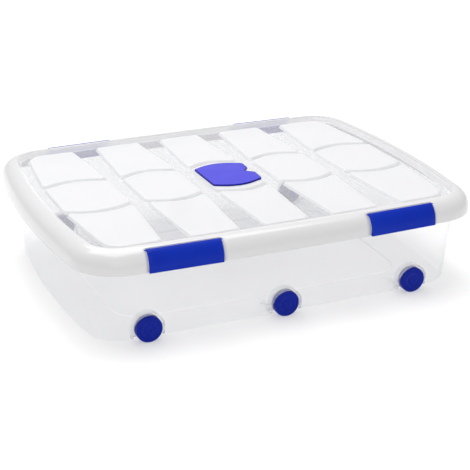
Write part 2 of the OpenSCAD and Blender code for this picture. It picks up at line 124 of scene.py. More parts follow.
class Shader:
    """A material in the making."""

    def __init__(self, name: str) -> None:
        """Starts a material with an empty node tree.

        Args:
            name: the material's name.
        """
        self.material = bpy.data.materials.new(name)
        self.material.use_nodes = True
        self.tree = self.material.node_tree
        self.tree.nodes.clear()

    def node(
        self,
        kind: str,
        settings: dict | None = None,
        inputs: dict | None = None,
        output: int | str = 0,
    ) -> Value:
        """Adds a node of any type.

        Args:
            kind: the node's type name.
            settings: attributes set first.
            inputs: values or links of its sockets, by name or number.
            output: which result is returned.

        Returns:
            The chosen output as a value for further expressions.
        """
        made = self.tree.nodes.new(kind)
        for key, setting in (settings or {}).items():
            setattr(made, key, setting)
        for key, value in (inputs or {}).items():
            if isinstance(value, Value):
                self.tree.links.new(value.socket, made.inputs[key])
            else:
                made.inputs[key].default_value = value
        return Value(self, made.outputs[output])

    def place(self) -> Value:
        """Object coordinates."""
        return self.node("ShaderNodeTexCoord", output="Object")

    def noise(self, scale: float, detail: float = 3.0, stretch: Vector | None = None) -> Value:
        """A soft noise between 0 and 1.

        Args:
            scale: how many waves fit in a metre.
            detail: how many finer layers are added.
            stretch: a factor for each axis, for grain that runs one way.

        Returns:
            The noise.
        """
        place = self.place()
        if stretch is not None:
            place = self.node("ShaderNodeMapping", inputs={"Vector": place, "Scale": tuple(stretch)})
        return self.node(
            "ShaderNodeTexNoise", inputs={"Vector": place, "Scale": scale, "Detail": detail}
        )

    def ramp(self, value: Value, low: float, high: float) -> Value:
        """A value that runs from 0 to 1 between two thresholds."""
        return self.node(
            "ShaderNodeMapRange",
            {"clamp": True},
            {"Value": value, "From Min": low, "From Max": high},
        )

    def edges(self) -> Value:
        """Where the surface is sharply convex, from 0 to 1."""
        return self.ramp(self.node("ShaderNodeNewGeometry", output="Pointiness"), 0.51, 0.6)

    def facing(self) -> Value:
        """0 where the surface faces the viewer, 1 where it is seen edge on."""
        return self.node("ShaderNodeLayerWeight", inputs={"Blend": 0.5}, output="Facing")

    def blend(self, share: Input, first: Input, second: Input) -> Value:
        """A colour between two colours."""
        mix = self.tree.nodes.new("ShaderNodeMix")
        mix.data_type = "RGBA"
        for socket, value in ((mix.inputs[0], share), (mix.inputs[6], first), (mix.inputs[7], second)):
            if isinstance(value, Value):
                self.tree.links.new(value.socket, socket)
            else:
                socket.default_value = value
        return Value(self, mix.outputs[2])

    def bump(self, height: Value, strength: float, depth: float) -> Value:
        """A surface normal raised by a height, with its depth in millimetres."""
        return self.node(
            "ShaderNodeBump", inputs={"Strength": strength, "Distance": depth * MM, "Height": height}
        )

    def finish(self, inputs: dict, glow: float = 0.0) -> bpy.types.Material:
        """Ends the material with a Principled shader.

        Args:
            inputs: values or links of the shader's sockets.
            glow: how much of the light is let through softly.

        Returns:
            The material.
        """
        surface = self.node("ShaderNodeBsdfPrincipled", inputs=inputs)
        if glow > 0.0:
            through = self.node("ShaderNodeBsdfTranslucent", inputs={"Color": inputs["Base Color"]})
            surface = self.node("ShaderNodeMixShader", inputs={0: glow, 1: surface, 2: through})
        output = self.tree.nodes.new("ShaderNodeOutputMaterial")
        self.tree.links.new(surface.socket, output.inputs["Surface"])
        return self.material


Colour = tuple[float, float, float, float]


# ---------- finishes ----------


@dataclass(frozen=True)
class ClearPlastic:
    """Clear moulded plastic with a slight milk, darker where it is seen edge on."""

    name: str
    face_colour: Colour = (0.93, 0.935, 0.955, 1.0)
    edge_colour: Colour = (0.78, 0.79, 0.82, 1.0)
    haze: float = 0.05
    rim_haze: float = 0.40
    rim_power: float = 3.0
    roughness: float = 0.10
    ripple: float = 0.5

    def material(self) -> bpy.types.Material:
        """Builds the material."""
        shader = Shader(self.name)
        flow = shader.noise(7.0, 4.0)
        fine = shader.noise(160.0, 2.0)
        grazing = shader.facing() ** self.rim_power
        scuffs = shader.ramp(shader.noise(60.0, 6.0, Vector((1.0, 1.0, 4.0))), 0.66, 0.8)
        alpha = grazing * (self.rim_haze - self.haze) + self.haze + (flow - 0.5) * 0.03
        colour = shader.blend(grazing, self.face_colour, self.edge_colour)
        return shader.finish(
            {
                "Base Color": colour,
                "Roughness": flow * 0.06 + scuffs * 0.12 + (self.roughness - 0.03),
                "Alpha": alpha + shader.edges() * 0.10 + scuffs * 0.02,
                "Normal": shader.bump(flow * 0.8 + fine * 0.2, 0.25, self.ripple),
                "IOR": 1.49,
                "Specular IOR Level": 0.5,
            }
        )


@dataclass(frozen=True)
class FrostedPlastic:
    """Whitish plastic that lets some light through."""

    name: str
    colour: Colour = (0.845, 0.845, 0.86, 1.0)
    shade: Colour = (0.80, 0.80, 0.815, 1.0)
    cover: float = 0.74
    rim_cover: float = 0.95
    rim_power: float = 3.0
    roughness: float = 0.34
    grain: float = 700.0
    grain_depth: float = 0.05
    coat: float = 0.0
    glow: float = 0.15

    def material(self) -> bpy.types.Material:
        """Builds the material."""
        shader = Shader(self.name)
        cloud = shader.noise(9.0, 5.0)
        grain = shader.noise(self.grain, 2.0)
        worn = shader.edges()
        grazing = shader.facing() ** self.rim_power
        rubbed = shader.ramp(shader.noise(45.0, 6.0), 0.62, 0.8)
        alpha = grazing * (self.rim_cover - self.cover) + self.cover
        return shader.finish(
            {
                "Base Color": shader.blend(cloud * 0.6 + rubbed * 0.2, self.colour, self.shade),
                "Roughness": cloud * 0.10 + rubbed * 0.08 + (self.roughness - 0.05) - worn * 0.08,
                "Alpha": alpha + (cloud - 0.5) * 0.05,
                "Normal": shader.bump(grain * 0.4 + cloud, 0.3, self.grain_depth),
                "IOR": 1.49,
                "Coat Weight": self.coat,
                "Coat Roughness": 0.08,
            },
            self.glow,
        )


@dataclass(frozen=True)
class BluePlastic:
    """Opaque cobalt blue plastic with a satin gloss and slightly paler, rubbed edges; on the cap the edge
    colour is darker and paints shade along its edges.
    """

    name: str
    deep: Colour = (0.0015, 0.016, 0.33, 1.0)
    bright: Colour = (0.002, 0.030, 0.44, 1.0)
    # Edge colour: paler for wear; the cap passes a darker one, which is painted shade.
    worn: Colour = (0.02, 0.06, 0.52, 1.0)
    roughness: float = 0.34
    gloss: float = 0.12
    grain: float = 900.0

    def material(self) -> bpy.types.Material:
        """Builds the material."""
        shader = Shader(self.name)
        cloud = shader.noise(22.0, 4.0)
        grain = shader.noise(self.grain, 2.0)
        # Edge mask: rubbed wear where the edge colour is paler; on the cap, whose edge colour is darker, it
        # is painted shade.
        worn = shader.edges() * shader.ramp(shader.noise(140.0, 4.0), 0.35, 0.7)
        scratches = shader.ramp(shader.noise(90.0, 5.0, Vector((0.3, 4.0, 4.0))), 0.64, 0.74)
        base = shader.blend(cloud, self.deep, self.bright)
        return shader.finish(
            {
                "Base Color": shader.blend(worn * 0.7 + scratches * 0.06, base, self.worn),
                "Roughness": cloud * 0.10 + scratches * 0.14 + (self.roughness - 0.05) + worn * 0.1,
                "Normal": shader.bump(grain * 0.3 + cloud * 0.7 - scratches * 0.2, 0.3, 0.08),
                "IOR": 1.49,
                "Specular IOR Level": self.gloss,
            }
        )


@dataclass(frozen=True)
class FloorPaint:
    """Plain pale studio floor."""

    name: str = "studio_floor"
    colour: Colour = (0.66, 0.66, 0.66, 1.0)
    lift: float = 0.58

    def material(self) -> bpy.types.Material:
        """Builds the material."""
        return Shader(self.name).finish(
            {
                "Base Color": self.colour,
                "Roughness": 0.9,
                "Specular IOR Level": 0.0,
                "Emission Color": self.colour,
                "Emission Strength": self.lift,
            }
        )


# ---------- shapes ----------


def arc(centre: Vector, radius: float, start: float, end: float, steps: int) -> list[Point]:
    """Points along an arc, its last one left out.

    Args:
        centre: the arc's centre.
        radius: its radius.
        start: first angle in radians.
        end: last angle in radians.
        steps: how many points.

    Returns:
        The points.
    """
    angles = [start + (end - start) * i / steps for i in range(steps)]
    return [(centre.x + radius * math.cos(a), centre.y + radius * math.sin(a)) for a in angles]


def bow_radius(half: float, corner: float, bow: float) -> float:
    """Radius of a side that bows outward by a given amount between two corners."""
    return ((half - corner) ** 2 + bow**2) / (2 * bow)


@dataclass(frozen=True)
class BowedOutline:
    """A rounded rectangle whose four sides bow outward."""

    half_x: float
    half_y: float
    corner: float
    bow_x: float
    bow_y: float
    corner_steps: int = 14
    long_steps: int = 14
    short_steps: int = 8

    @property
    def arc_x(self) -> float:
        """Radius of the short sides."""
        return bow_radius(self.half_y, self.corner, self.bow_x)

    @property
    def arc_y(self) -> float:
        """Radius of the long sides."""
        return bow_radius(self.half_x, self.corner, self.bow_y)

    def side_centres(self) -> tuple[Vector, Vector]:
        """Centres of the short side's arc and of the long side's arc."""
        return Vector((self.half_x - self.arc_x, 0.0)), Vector((0.0, self.half_y - self.arc_y))

    def corner_centre(self) -> Vector:
        """Centre of the corner arc that touches both sides."""
        side_x, side_y = self.side_centres()
        reach_x, reach_y = self.arc_x - self.corner, self.arc_y - self.corner
        between = side_y - side_x
        apart = between.length
        along = (reach_x**2 - reach_y**2 + apart**2) / (2 * apart)
        off = math.sqrt(reach_x**2 - along**2)
        unit = between / apart
        return side_x + unit * along + Vector((-unit.y, unit.x)) * off

    def points(self, inset: float = 0.0) -> list[Point]:
        """The closed outline, anticlockwise from the middle of the right side.

        Args:
            inset: how far inside the outline the points lie.

        Returns:
            The points.
        """
        side_x, side_y = self.side_centres()
        centre = self.corner_centre()
        turn_x = math.atan2(centre.y - side_x.y, centre.x - side_x.x)
        turn_y = math.atan2(centre.y - side_y.y, centre.x - side_y.x)
        quarter = arc(side_x, self.arc_x - inset, 0.0, turn_x, self.short_steps)
        quarter += arc(centre, self.corner - inset, turn_x, turn_y, self.corner_steps)
        quarter += arc(side_y, self.arc_y - inset, turn_y, math.pi / 2, self.long_steps)
        upper = quarter + [(0.0, self.half_y - inset)] + [(-x, y) for x, y in reversed(quarter)]
        return upper + [(-x, -y) for x, y in upper[1:-1]]

    def long_side(self, x: float) -> float:
        """How far out the long side lies at a place along it."""
        return self.half_y - self.arc_y + math.sqrt(self.arc_y**2 - x**2)

    def towards(self, other: "BowedOutline", share: float) -> "BowedOutline":
        """The outline part of the way to another one."""
        names = ("half_x", "half_y", "corner", "bow_x", "bow_y")
        pairs = [(getattr(self, name), getattr(other, name)) for name in names]
        return BowedOutline(*[a + (b - a) * share for a, b in pairs])


def fillet(before: Vector, corner: Vector, after: Vector, radius: float, steps: int) -> list[Vector]:
    """Points of the arc that rounds a corner.

    Args:
        before: the point before the corner.
        corner: the corner.
        after: the point after it.
        radius: the arc's radius.
        steps: how many stretches the arc has.

    Returns:
        The arc's points, ends included.
    """
    a = (before - corner).normalized()
    b = (after - corner).normalized()
    half = a.angle(b) / 2
    centre = corner + (a + b).normalized() * radius / math.sin(half)
    spoke = corner + a * radius / math.tan(half) - centre
    start = math.atan2(spoke.y, spoke.x)
    sweep = math.pi - 2 * half
    angles = [start + sweep * i / steps for i in range(steps + 1)]
    return [centre + radius * Vector((math.cos(t), math.sin(t))) for t in angles]


def bulged(start: Vector, end: Vector, bulge: float, steps: int) -> list[Vector]:
    """Points between two ends, pushed sideways in Y by a shallow arc."""
    shares = [i / steps for i in range(1, steps)]
    return [start.lerp(end, u) + Vector((0.0, bulge * 4 * u * (1 - u))) for u in shares]


def level(outline: Iterable[Point], height: float) -> list[Vector]:
    """An outline laid flat at a height."""
    return [Vector((x, y, height)) for x, y in outline]


def rounded(corners: Sequence[Vector], radii: Sequence[float]) -> list[list[Vector]]:
    """The arcs that round the four corners of an outline."""
    return [fillet(corners[k - 1], corners[k], corners[(k + 1) % 4], radii[k], 6) for k in range(4)]


def in_metres(place: Matrix) -> Matrix:
    """A place given in millimetres, made to move points that are in metres."""
    return Matrix.Scale(MM, 4) @ place @ Matrix.Scale(1 / MM, 4)


def steps_along(ring: Ring, closed: bool) -> Iterable[tuple[bmesh.types.BMVert, bmesh.types.BMVert]]:
    """Each vertex of a ring or an open chain with the next one."""
    return zip(ring, ring[1:] + ring[:1] if closed else ring[1:])


def edges_at(verts: Iterable[bmesh.types.BMVert]) -> Edges:
    """The edges that meet some vertices, each once and in the same order each run."""
    return list(dict.fromkeys(e for v in verts for e in v.link_edges))


def give_finish(made: Iterable, finish: int) -> None:
    """Gives the faces among some new mesh parts the number of their finish."""
    for item in made:
        if isinstance(item, bmesh.types.BMFace):
            item.material_index = finish


class Surface:
    """A mesh in the making, fed in millimetres."""

    def __init__(self) -> None:
        """Starts an empty mesh."""
        self.bm = bmesh.new()

    def ring(self, points: Iterable[Vector], closed: bool = True) -> Ring:
        """Adds a chain of edges.

        Args:
            points: its corners.
            closed: whether the last corner joins the first.

        Returns:
            Its vertices.
        """
        verts = [self.bm.verts.new(Vector(p) * MM) for p in points]
        for pair in steps_along(verts, closed):
            self.bm.edges.new(pair)
        return verts

    def edges_of(self, ring: Ring, closed: bool = True) -> Edges:
        """The edges along a ring or an open chain."""
        return [self.bm.edges.get(pair) for pair in steps_along(ring, closed)]

    def grow(self, ring: Ring, points: Iterable[Vector], finish: int = 0, closed: bool = True) -> Ring:
        """Extrudes a ring onto matching points.

        Args:
            ring: the ring to start from.
            points: where each of its vertices' twins go.
            finish: number of the new faces' finish.
            closed: whether the ring is closed.

        Returns:
            The new ring.
        """
        made = bmesh.ops.extrude_edge_only(self.bm, edges=self.edges_of(ring, closed))["geom"]
        fresh = {item for item in made if isinstance(item, bmesh.types.BMVert)}
        grown: Ring = []
        for vert, point in zip(ring, points):
            twin = next(e.other_vert(vert) for e in vert.link_edges if e.other_vert(vert) in fresh)
            twin.co = Vector(point) * MM
            grown.append(twin)
        give_finish(made, finish)
        return grown

    def skin(self, ring: Ring, levels: Iterable[Sequence[Vector]], finish: int = 0) -> Ring:
        """Grows a closed ring through a row of levels and returns the last one."""
        for points in levels:
            ring = self.grow(ring, points, finish)
        return ring

    def fill(self, rings: Sequence[Ring], finish: int = 0) -> None:
        """Fills a flat region between closed rings, holes left open.

        Args:
            rings: the region's outer and inner edges.
            finish: number of the new faces' finish.
        """
        edges = [edge for ring in rings for edge in self.edges_of(ring)]
        made = bmesh.ops.triangle_fill(self.bm, use_beauty=True, edges=edges)
        give_finish(made["geom"], finish)

    def spin(self, profile: Sequence[Point], steps: int = 72) -> None:
        """Turns a profile of radius and height pairs once round the Z axis."""
        verts = self.ring([Vector((r, 0.0, z)) for r, z in profile], closed=False)
        edges = self.edges_of(verts, closed=False)
        bmesh.ops.spin(
            self.bm,
            geom=verts + edges,
            cent=(0.0, 0.0, 0.0),
            axis=(0.0, 0.0, 1.0),
            dvec=(0.0, 0.0, 0.0),
            angle=math.tau,
            steps=steps,
            use_merge=True,
            use_duplicate=False,
        )
        bmesh.ops.remove_doubles(self.bm, verts=self.bm.verts[:], dist=1e-7)

    def soften(self, edges: Edges, radius: float, clamp: bool = False) -> None:
        """Rounds edges off.

        Args:
            edges: the edges.
            radius: how far back each rounding starts.
            clamp: whether roundings stop where they would meet.
        """
        bmesh.ops.bevel(
            self.bm,
            geom=edges,
            offset=radius * MM,
            segments=2,
            profile=0.5,
            affect="EDGES",
            material=-1,
            clamp_overlap=clamp,
        )

    def block(self, low: Vector, high: Vector, place: Matrix, bevel: float) -> None:
        """Adds a block with rounded edges.

        Args:
            low: its lowest corner.
            high: its highest corner.
            place: where it goes.
            bevel: radius of its edges.
        """
        centre, size = (low + high) / 2, high - low
        shape = place @ Matrix.Translation(centre) @ Matrix.Diagonal((*size, 1.0))
        made = bmesh.ops.create_cube(self.bm, size=1.0, matrix=Matrix.Scale(MM, 4) @ shape)
        self.soften(edges_at(made["verts"]), bevel)

    def rod(self, radius: float, start: float, end: float, place: Matrix, bevel: float = 0.3) -> None:
        """Adds a round rod along local X with softened ends.

        Args:
            radius: its radius.
            start: where it starts along X.
            end: where it ends.
            place: where it goes.
            bevel: radius of its end edges.
        """
        middle = Matrix.Translation(((start + end) / 2, 0.0, 0.0)) @ Matrix.Rotation(math.pi / 2, 4, "Y")
        made = bmesh.ops.create_cone(
            self.bm,
            cap_ends=True,
            segments=32,
            radius1=radius * MM,
            radius2=radius * MM,
            depth=(end - start) * MM,
        )
        verts = made["verts"]
        rims = [e for e in edges_at(verts) if abs(e.verts[0].co.z - e.verts[1].co.z) < 1e-9]
        bmesh.ops.transform(self.bm, matrix=in_metres(place @ middle), verts=verts)
        self.soften(rims, bevel)

    def carve(self, planes: Sequence[Plane], margin: float) -> None:
        """Cuts away the faces that lie behind all of some planes.

        Args:
            planes: a point and an outward direction for each side of the space to clear.
            margin: how far outside that space faces are cut too.
        """

        def behind(face: bmesh.types.BMFace, slack: float) -> bool:
            centre = face.calc_center_median() / MM
            return all((centre - point).dot(away) < slack for point, away in planes)

        for point, away in planes:
            near = [f for f in self.bm.faces if behind(f, margin)]
            parts = dict.fromkeys(part for f in near for part in (*f.edges, *f.verts))
            bmesh.ops.bisect_plane(
                self.bm, geom=near + list(parts), dist=1e-7, plane_co=point * MM, plane_no=away
            )
        gone = [f for f in self.bm.faces if behind(f, 0.0)]
        bmesh.ops.delete(self.bm, geom=gone, context="FACES")

    def orient(self, faces: Faces, facing: Vector) -> None:
        """Turns faces one way round, so that together they face a direction."""
        bmesh.ops.recalc_face_normals(self.bm, faces=faces)
        total = sum((f.normal * f.calc_area() for f in faces), Vector())
        if total.dot(facing) < 0:
            bmesh.ops.reverse_faces(self.bm, faces=faces)

    def move(self, place: Matrix) -> None:
        """Moves everything, with the place given in millimetres."""
        bmesh.ops.transform(self.bm, matrix=in_metres(place), verts=self.bm.verts[:])

    def piece(
        self,
        name: str,
        body: str,
        materials: Sequence[bpy.types.Material],
        wall: float = 0.0,
        sharp: float = 38.0,
    ) -> bpy.types.Object:
        """Ends the mesh as a finished object.

        Args:
            name: the piece's name.
            body: the body that it moves with.
            materials: its finishes, in the order of their numbers.
            wall: thickness of an open skin; a closed shape has 0.
            sharp: angle in degrees above which an edge stays hard.

        Returns:
            The object.
        """
        bmesh.ops.remove_doubles(self.bm, verts=self.bm.verts[:], dist=2e-6)
        if wall == 0.0:
            bmesh.ops.recalc_face_normals(self.bm, faces=self.bm.faces[:])
        mesh = bpy.data.meshes.new(name)
        self.bm.to_mesh(mesh)
        self.bm.free()
        for material in materials:
            mesh.materials.append(material)
        mesh.shade_smooth()
        mesh.set_sharp_from_angle(angle=math.radians(sharp))
        made = bpy.data.objects.new(name, mesh)
        bpy.context.collection.objects.link(made)
        if wall > 0.0:
            thicken = made.modifiers.new("wall", "SOLIDIFY")
            thicken.thickness = wall * MM
            thicken.offset = -1.0
        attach(made, body)
        LOG.info("piece %s on %s: %d faces", name, body, len(mesh.polygons))
        return made


# ---------- shared sizes ----------


@dataclass(frozen=True)
class BoxPlan:
    """Sizes that several sub-assemblies share."""

    length: float = 790.0
    width: float = 612.0
    height: float = 184.5
    corner: float = 86.0
    long_bow: float = 6.4
    short_bow: float = 14.5
    band_width: float = 28.0
    band_rise: float = 31.5
    skirt_drop: float = 6.5
    panel_sink: float = 9.5
    pad_rise: float = 5.0
    wall: float = 2.0
    clip_width: float = 130.0
    clip_wall: float = 2.4
    clip_share: float = 0.258
    clip_gap: float = 0.8
    hinge_angle: float = 62.0
    barrel: float = 2.5
    wheel_radius: float = 23.75
    wheel_width: float = 15.0
    wheel_share: float = 0.325
    wheel_face: float = 262.0
    axle: float = 3.0
    bore_gap: float = 0.05
    rim_sink: float = 8.5
    well_gap: float = 3.5
    boss: float = 4.0
    ground_gap: float = 6.0

    @property
    def outline(self) -> BowedOutline:
        """The lid seen from above."""
        return BowedOutline(self.length / 2, self.width / 2, self.corner, self.short_bow, self.long_bow)

    @property
    def spring_z(self) -> float:
        """Height at which the lid's band starts to curve."""
        return self.height - self.band_rise

    @property
    def skirt_z(self) -> float:
        """Height of the skirt's lower edge."""
        return self.spring_z - self.skirt_drop

    @property
    def panel_z(self) -> float:
        """Height of the lid's grooves."""
        return self.height - self.panel_sink

    @property
    def pad_z(self) -> float:
        """Height of the pads."""
        return self.panel_z + self.pad_rise

    @property
    def rim_z(self) -> float:
        """Height of the tub's rim."""
        return self.height - self.rim_sink

    @property
    def clip_x(self) -> float:
        """How far along the box the clips' middles lie."""
        return self.length * self.clip_share

    @property
    def well_radius(self) -> float:
        """Radius of the pockets that the wheels sit in."""
        return self.wheel_radius + self.well_gap

    @property
    def well_depth(self) -> float:
        """How far the pockets reach in behind the wheels' faces."""
        return self.wheel_width + self.boss + 1.0

    def band(self, shrink: float, degrees: float) -> Point:
        """Inset and height of the rounded band.

        Args:
            shrink: how far under the band's outer face the place lies.
            degrees: how far round the band, 0 at the skirt and 90 at the crest.

        Returns:
            The inset from the outline and the height.
        """
        turn = math.radians(degrees)
        inset = self.band_width - (self.band_width - shrink) * math.cos(turn)
        return inset, self.spring_z + (self.band_rise - shrink) * math.sin(turn)

    @property
    def hinge(self) -> Point:
        """Inset and height of the clips' hinge line."""
        inset, height = self.band(0.0, self.hinge_angle)
        sink = self.barrel - self.clip_wall / 2
        turn = math.radians(self.hinge_angle)
        return inset + sink * math.cos(turn), height - sink * math.sin(turn)

    def clip_place(self, column: int, side: int) -> Matrix:
        """Where a clip goes: local X along its hinge, +Y outward.

        Args:
            column: -1 for the left pair, 1 for the right pair.
            side: -1 for the front, 1 for the rear.

        Returns:
            The clip's place in millimetres.
        """
        outline = self.outline
        tilt = math.asin(self.clip_x / outline.arc_y)
        inset, height = self.hinge
        y = side * (outline.long_side(self.clip_x) - inset)
        return (
            Matrix.Translation((column * self.clip_x, y, height))
            @ Matrix.Rotation(-side * column * tilt, 4, "Z")
            @ Matrix.Scale(side, 4, (0.0, 1.0, 0.0))
        )

    def wheel_place(self, column: int, side: int) -> Matrix:
        """Where a wheel goes: local +Z outward, 0 at its face."""
        spot = (column * self.length * self.wheel_share, side * self.wheel_face, self.wheel_radius)
        return Matrix.Translation(spot) @ Matrix.Rotation(-side * math.pi / 2, 4, "X")

    def notch_planes(self, column: int, side: int) -> list[Plane]:
        """Sides of the space in the band that a clip fills."""
        place = self.clip_place(column, side)
        turn = place.to_3x3()
        half = self.clip_width / 2 + self.clip_gap
        back = -self.barrel - self.clip_gap
        spots = [((half, 0, 0), (1, 0, 0)), ((-half, 0, 0), (-1, 0, 0)), ((0, back, 0), (0, -1, 0))]
        return [(place @ Vector(spot), (turn @ Vector(away)).normalized()) for spot, away in spots]


SIDES = {-1: "front", 1: "rear"}
CLIP_COLUMNS = {-1: "left", 1: "right"}
WHEEL_COLUMNS = {-1: "left", 0: "middle", 1: "right"}


def each_clip() -> list[tuple[int, int]]:
    """Column and side of each clip."""
    return [(column, side) for side in SIDES for column in CLIP_COLUMNS]


def each_wheel() -> list[tuple[int, int]]:
    """Column and side of each wheel."""
    return [(column, side) for side in SIDES for column in WHEEL_COLUMNS]


# ---------- tub ----------


@dataclass
class Tub:
    """The clear tub: stepped floor, tapered walls, six wheel pockets and a rolled rim."""

    plan: BoxPlan
    foot_inset_x: float = 32.0
    foot_inset_y: float = 48.0
    top_inset_x: float = 17.0
    top_inset_y: float = 19.8
    foot_corner: float = 0.68
    top_corner: float = 0.92
    foot_round: float = 7.0
    floor_step: float = 3.0
    lip_inset: float = 3.5
    lip_drop: float = 1.0
    hub: float = 6.5
    hub_steps: int = 32
    arch_steps: int = 14
    cut_margin: float = 45.0
    floor_share: Point = (0.785, 0.7)
    floor_corner: float = 0.55
    floor_bow: float = 3.0
    foot: BowedOutline = field(init=False)
    top: BowedOutline = field(init=False)

    def __post_init__(self) -> None:
        """Works out the outlines at the foot and at the rim."""
        plan = self.plan
        self.foot = BowedOutline(
            plan.length / 2 - self.foot_inset_x,
            plan.width / 2 - self.foot_inset_y,
            plan.corner * self.foot_corner,
            plan.short_bow * 0.95,
            plan.long_bow * 0.6,
        )
        self.top = BowedOutline(
            plan.length / 2 - self.top_inset_x,
            plan.width / 2 - self.top_inset_y,
            plan.corner * self.top_corner,
            plan.short_bow,
            plan.long_bow,
        )

    def outline(self, height: float) -> BowedOutline:
        """The wall's outline at a height."""
        rise = self.plan.rim_z - self.plan.ground_gap
        return self.foot.towards(self.top, (height - self.plan.ground_gap) / rise)

    def foot_inset(self, height: float) -> float:
        """How far the rounded foot draws the wall in at a height."""
        below = max(0.0, self.plan.ground_gap + self.foot_round - height)
        return self.foot_round - math.sqrt(max(0.0, self.foot_round**2 - below**2))

    def wall_y(self, x: float, height: float) -> float:
        """How far out the long wall lies at a place on it."""
        level = max(height, self.plan.ground_gap + self.foot_round)
        return self.outline(level).long_side(x) - self.foot_inset(height)

    def build_skin(self, surface: Surface) -> None:
        """Adds floor, walls and rolled rim as one open skin."""
        plan = self.plan
        gap = plan.ground_gap
        panel = BowedOutline(
            self.foot.half_x * self.floor_share[0],
            self.foot.half_y * self.floor_share[1],
            plan.corner * self.floor_corner,
            self.floor_bow,
            self.floor_bow,
        )
        loops = [
            level(panel.points(4.0), gap + self.floor_step),
            level(panel.points(2.6), gap + self.floor_step),
            level(panel.points(1.9), gap + self.floor_step - 0.5),
            level(panel.points(0.3), gap + 0.4),
            level(panel.points(-0.6), gap),
            level(panel.points(-2.0), gap),
        ]
        corner_level = self.outline(gap + self.foot_round)
        loops.append(level(corner_level.points(self.foot_round + 1.5), gap))
        for degrees in range(90, 0, -15):
            turn = math.radians(degrees)
            inset = self.foot_round * (1 - math.cos(turn))
            drop = self.foot_round * (1 - math.sin(turn))
            loops.append(level(corner_level.points(inset), gap + drop))
        wall_top = plan.rim_z - plan.wall
        low = gap + self.foot_round
        for share in (0.0, 0.03, 0.2, 0.4, 0.6, 0.8, 0.97, 1.0):
            height = low + (wall_top - low) * share
            loops.append(level(self.outline(height).points(), height))
        under = self.lip_inset + plan.wall
        steepest = math.degrees(math.asin((wall_top - plan.spring_z) / (plan.band_rise - under)))
        for share in (1.0, 0.8, 0.6, 0.4, 0.2, 0.0):
            inset, height = plan.band(under, steepest * share)
            loops.append(level(plan.outline.points(inset), height))
        loops.append(level(plan.outline.points(under), plan.spring_z - self.lip_drop))
        floor = surface.ring(loops[0])
        surface.skin(floor, loops[1:])
        surface.fill([floor])

    def arch(self, column: int) -> list[Point]:
        """Corners of a pocket's arch in X and Z, from its right foot to its left foot."""
        plan = self.plan
        middle = column * plan.length * plan.wheel_share
        step = math.pi / self.arch_steps
        reach = plan.well_radius / math.cos(step / 2)
        turns = [step * (i + 0.5) for i in range(self.arch_steps)]
        crown = [(middle + reach * math.cos(t), plan.wheel_radius + reach * math.sin(t)) for t in turns]
        feet = [(middle + s * plan.well_radius, plan.ground_gap) for s in (1, -1)]
        steps = [plan.ground_gap + self.foot_round * u for u in (0.05, 0.2, 0.5, 1.0)]
        right = [feet[0]] + [(feet[0][0], z) for z in steps]
        left = [(feet[1][0], z) for z in reversed(steps)] + [feet[1]]
        return right + crown + left

    def pocket_planes(self, column: int, side: int) -> list[Plane]:
        """Sides of the space that a wheel's pocket takes from the skin."""
        plan = self.plan
        centre = Vector((column * plan.length * plan.wheel_share, 0.0, plan.wheel_radius))
        back = Vector((centre.x, side * (plan.wheel_face - plan.well_depth), 0.0))
        turns = [math.pi * i / self.arch_steps for i in range(self.arch_steps + 1)]
        spokes = [Vector((math.cos(t), 0.0, math.sin(t))) for t in turns]
        return [(back, Vector((0.0, -side, 0.0)))] + [(centre + s * plan.well_radius, s) for s in spokes]

    def build_pocket(self, surface: Surface, column: int, side: int) -> None:
        """Adds one pocket's walls, its back and the boss that the axle sits in."""
        plan = self.plan
        before = set(surface.bm.faces)
        back = plan.wheel_face - plan.well_depth
        arch = self.arch(column)
        inner = surface.ring([Vector((x, side * back, z)) for x, z in arch], closed=False)
        outer = [Vector((x, side * self.wall_y(x, z), z)) for x, z in arch]
        surface.grow(inner, outer, closed=False)
        surface.bm.edges.new((inner[-1], inner[0]))
        middle = column * plan.length * plan.wheel_share

        def circle(radius: float, out: float) -> list[Vector]:
            turns = [math.tau * i / self.hub_steps for i in range(self.hub_steps)]
            spokes = [(math.cos(t), math.sin(t)) for t in turns]
            depth = side * (back + out)
            return [Vector((middle + radius * c, depth, plan.wheel_radius + radius * s)) for c, s in spokes]

        boss = [circle(self.hub, 0.6), circle(self.hub, plan.boss - 0.4)]
        boss += [circle(self.hub - 0.4, plan.boss), circle(plan.axle + plan.bore_gap, plan.boss)]
        foot = surface.ring(circle(self.hub + 0.6, 0.0))
        surface.skin(foot, boss)
        surface.fill([inner, foot])
        surface.orient([f for f in surface.bm.faces if f not in before], Vector((0.0, side, 0.0)))

    def build(self, finish: ClearPlastic) -> None:
        """Builds the tub and dresses it."""
        surface = Surface()
        self.build_skin(surface)
        surface.orient(surface.bm.faces[:], Vector((0.0, 0.0, -1.0)))
        for column, side in each_wheel():
            surface.carve(self.pocket_planes(column, side), self.cut_margin)
        for column, side in each_wheel():
            self.build_pocket(surface, column, side)
        made = surface.piece(
            "tub_shell", Body.TUB.value, [finish.material()], wall=self.plan.wall
        )
        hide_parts("tub")


# ---------- lid ----------


